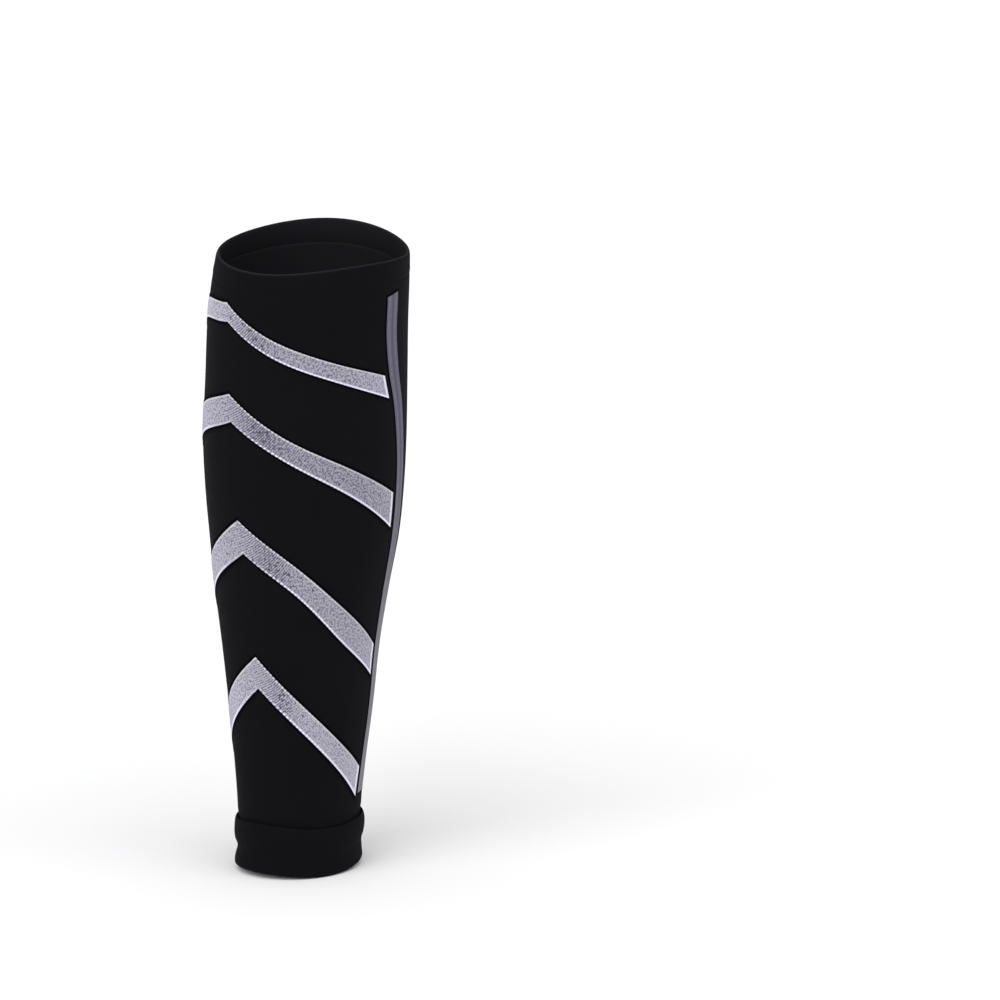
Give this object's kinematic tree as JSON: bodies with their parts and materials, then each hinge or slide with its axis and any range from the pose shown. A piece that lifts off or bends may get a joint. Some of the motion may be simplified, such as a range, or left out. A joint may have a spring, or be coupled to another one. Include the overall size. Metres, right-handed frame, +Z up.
{
  "type": "calf compression sleeve",
  "caption": "Footless knit compression sleeve in its worn calf shape, with a folded top cuff, a ridged ankle cuff, chevron bands round the shin and a side stripe.",
  "frame": {"origin": "middle of the calf at its widest, on the axis of the leg that fills the sleeve", "axes": "+Z up the leg from ankle to knee, -Y towards the shin, +Y towards the calf muscle, +X towards the side that carries the stripe"},
  "size_m": [0.1074, 0.1159, 0.347],
  "materials": {
    "leg_tube": "matte fine stretch knit",
    "top_cuff": "matte double knit",
    "ankle_cuff": "matte double knit",
    "chevron_band": "light grey melange knit, matte",
    "side_stripe": "grey knit, matte"
  },
  "bodies": {
    "root": {"leg_tube": "leg_tube", "top_cuff": "top_cuff", "ankle_cuff": "ankle_cuff", "chevron_1": "chevron_band", "chevron_2": "chevron_band", "chevron_3": "chevron_band", "chevron_4": "chevron_band", "side_stripe": "side_stripe"}
  },
  "joints": []
}
